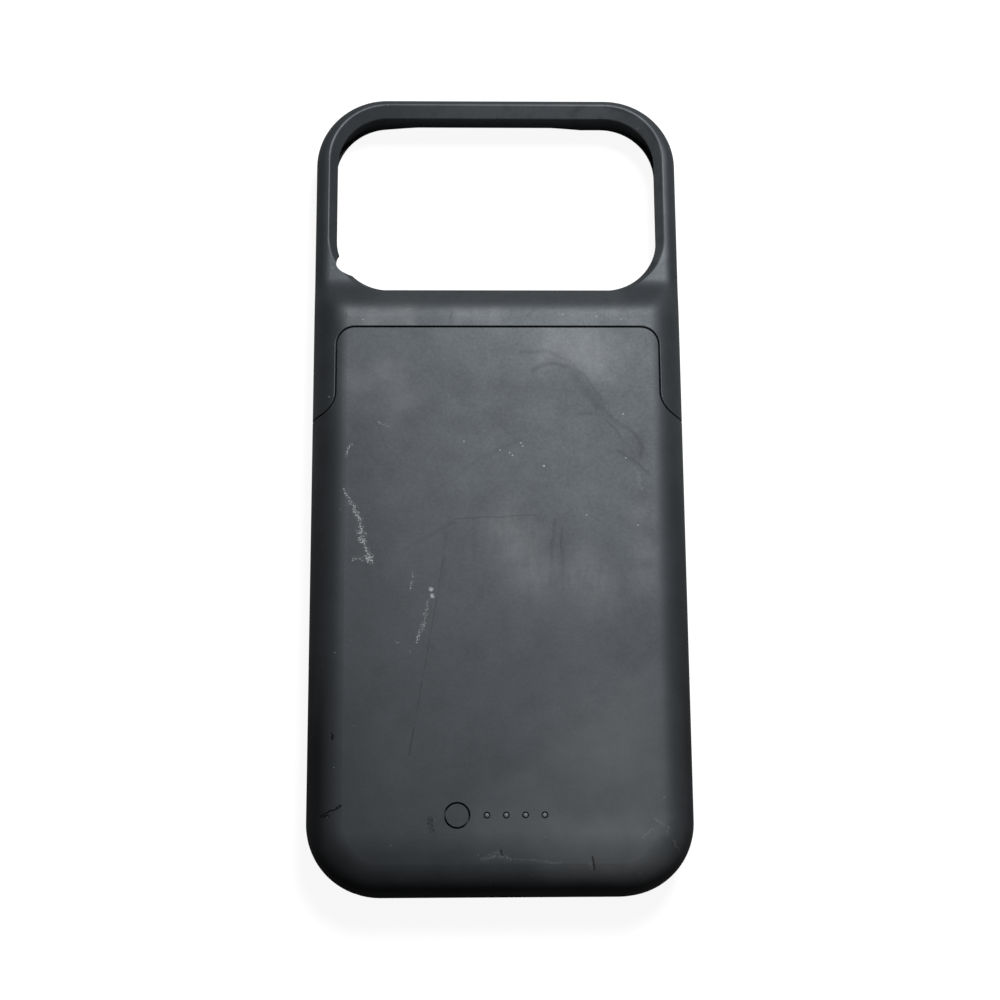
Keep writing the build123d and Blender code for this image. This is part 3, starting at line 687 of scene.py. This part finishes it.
# Painted light: the rim and ramp are made paler, more so towards the lamp on the right, broken by
# noise.
painted_rim_light = (0.036, 0.039, 0.042, 1.0)
lit_rim_line = [(-36.0, 85.0), (-24.0, 87.4), (24.0, 87.4), (32.5, 84.5), (37.2, 77.0), (37.2, 52.0)]
ramp = [(-26.0, 41.4), (26.0, 41.4)]
rim = stroke(flat, lit_rim_line, 2.4, 0.4) * flat.axis("X").fade(-36.0, -2.0)
rim = rim.over(0.4 * stroke(flat, ramp, 5.0, 0.0))
rim = rim * flat.noise(0.3, 3.0, 0.6).fade(0.1, 0.6)
cap_colour = rim.tint(cap_colour, painted_rim_light)
close_finish(
    cap_finish,
    cap_dust.tint(cap_colour, chalk),
    cap_roughness + 0.035 * cap_wisps,
    cap_relief,
    Coat_Weight=0.3 * cap_oily,
    Coat_Roughness=skin_oil_roughness,
    **lacquer_shine,
)
dress(cap_finish, "top_cap")


# Floor: a plain pale sheet that the case lies face down on. It shows white to the camera, is
# dimmer in reflections so that the dark lacquer keeps its contrast, and takes a soft shadow.

floor_size = 60.0
floor_drop = 0.0001
white = (1.0, 1.0, 1.0, 1.0)
paper_lit = (0.14, 0.14, 0.14, 1.0)
paper_mirrored = (0.22, 0.22, 0.22, 1.0)
glow_shown = 0.92
glow_mirrored = 0.02
bpy.ops.object.select_all(action="DESELECT")
bpy.ops.mesh.primitive_plane_add(size=floor_size, location=(0.0, 0.0, -floor_drop))
floor = bpy.context.object
floor.name = "floor"
floor_finish, place = blank_finish("floor_white")
seen = place.node("ShaderNodeLightPath", output="Is Camera Ray")
mirrored = place.node("ShaderNodeLightPath", output="Is Glossy Ray")
passed = place.node("ShaderNodeLightPath", output="Is Transmission Ray")
matt = place.node("ShaderNodeBsdfDiffuse", None, {"Color": mirrored.tint(paper_lit, paper_mirrored)})
strength = glow_shown * seen.over(passed) + glow_mirrored * mirrored
glow = place.node("ShaderNodeEmission", None, {"Color": white, "Strength": strength})
both = place.node("ShaderNodeAddShader", None, {0: matt, 1: glow})
place.node("ShaderNodeOutputMaterial", None, {"Surface": both})
floor.data.materials.append(floor_finish)


# Studio: one soft lamp above the window end and a little to the right, and an even surround that
# is dim on the case and white to the camera.

surround_light = 0.05
surround_shown = 0.90
world = bpy.data.worlds.new("studio")
world.use_nodes = True
world.node_tree.nodes.clear()
start = Shade(world.node_tree)
seen = start.node("ShaderNodeLightPath", output="Is Camera Ray")
passed = start.node("ShaderNodeLightPath", output="Is Transmission Ray")
strength = surround_light + surround_shown * seen.over(passed)
surround = start.node("ShaderNodeBackground", None, {"Color": white, "Strength": strength})
start.node("ShaderNodeOutputWorld", None, {"Surface": surround})
bpy.context.scene.world = world

lamp_size = 0.15
lamp_watts = 3.35
lamp_target = (0.0, 0.0, 0.01)
lamp = bpy.data.lights.new("soft_lamp", "AREA")
lamp.shape = "RECTANGLE"
lamp.size = lamp_size
lamp.size_y = lamp_size
lamp.energy = lamp_watts
lamp_stand = bpy.data.objects.new("soft_lamp", lamp)
lamp_stand.location = (0.090, 0.203, 0.400)
lamp_aim = Vector(lamp_target) - lamp_stand.location
lamp_stand.rotation_euler = lamp_aim.to_track_quat("-Z", "Y").to_euler()
lamp_stand.visible_camera = False
bpy.context.scene.collection.objects.link(lamp_stand)


# Camera: above the back and a little towards the chin, as the photograph was taken. Its place,
# lens and turns bring the outline, the seam and the button over those in the photograph.

view_turns = (12.983, -1.316, -0.079)
view = bpy.data.cameras.new("view")
view.sensor_width = 36.0
view.lens = 66.38
view.clip_start = 0.01
view_stand = bpy.data.objects.new("view", view)
view_stand.location = (-0.0090, -0.09664, 0.4087)
view_stand.rotation_mode = "ZYX"
view_stand.rotation_euler = [math.radians(turn) for turn in view_turns]
bpy.context.scene.collection.objects.link(view_stand)
bpy.context.scene.camera = view_stand
bpy.context.scene.view_settings.view_transform = "Standard"
